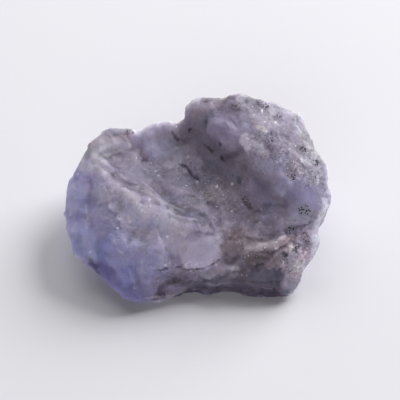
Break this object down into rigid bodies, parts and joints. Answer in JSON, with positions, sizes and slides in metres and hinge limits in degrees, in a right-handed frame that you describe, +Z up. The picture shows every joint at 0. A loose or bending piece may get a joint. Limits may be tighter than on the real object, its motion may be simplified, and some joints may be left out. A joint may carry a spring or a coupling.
{
  "type": "rough tanzanite crystal",
  "caption": "Rough tanzanite lump: a broken crystal with a high thick end, a diagonal trough, a low thin end and a ledged, broken front, resting on a small flat spot.",
  "frame": {"origin": "under the middle of the stone's outline, on the surface that it rests on", "axes": "+X along the stone's length towards its high, thick end, +Y towards its back, +Z up"},
  "size_m": [0.026, 0.0182, 0.0114],
  "materials": {
    "stone": "rough broken crystal, greyish lavender going to blue-violet at the thin end, waxy to glassy, barely translucent"
  },
  "bodies": {
    "root": {"stone": "stone"}
  },
  "joints": []
}
